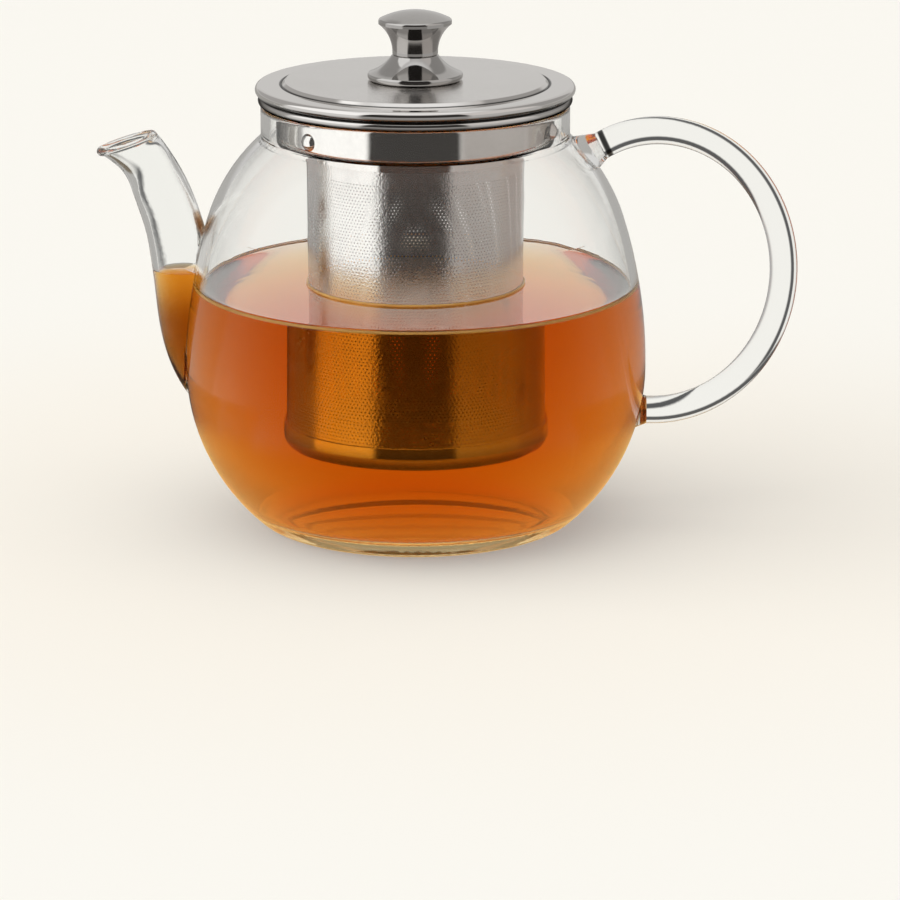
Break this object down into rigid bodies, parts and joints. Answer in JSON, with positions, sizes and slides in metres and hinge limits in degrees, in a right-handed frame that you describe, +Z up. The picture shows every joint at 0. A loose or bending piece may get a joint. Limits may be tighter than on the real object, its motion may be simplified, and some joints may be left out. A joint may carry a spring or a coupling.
{
  "type": "teapot",
  "caption": "Round clear glass teapot with a curved glass spout and loop handle, a lift-out perforated steel infuser and a steel lid with a flared knob.",
  "frame": {"origin": "centre of the flat base, on the table", "axes": "+Z up along the axis of the body, +X towards the handle, spout towards -X"},
  "size_m": [0.2002, 0.1328, 0.1479],
  "materials": {
    "clear_glass": "clear fire-polished borosilicate glass",
    "polished_steel": "polished stainless steel",
    "mesh_steel": "fine perforated stainless steel sheet",
    "screw_steel": "plain stainless fastener steel"
  },
  "bodies": {
    "vessel": {"glass_body": "clear_glass", "spout": "clear_glass", "handle": "clear_glass"},
    "infuser": {"infuser_collar": "polished_steel", "infuser_wall": "mesh_steel", "infuser_bottom_ring": "polished_steel", "infuser_bottom_mesh": "mesh_steel"},
    "lid": {"lid_top": "polished_steel", "lid_skirt": "polished_steel", "knob_foot": "polished_steel", "knob_grip": "polished_steel", "knob_washer": "screw_steel", "knob_screw": "screw_steel"}
  },
  "joints": [
    {"name": "infuser_lift", "type": "slide", "parent": "vessel", "child": "infuser", "axis": [0, 0, 1], "range_m": [0, 0.13]},
    {"name": "lid_lift", "type": "slide", "parent": "infuser", "child": "lid", "axis": [0, 0, 1], "range_m": [0, 0.05]}
  ]
}
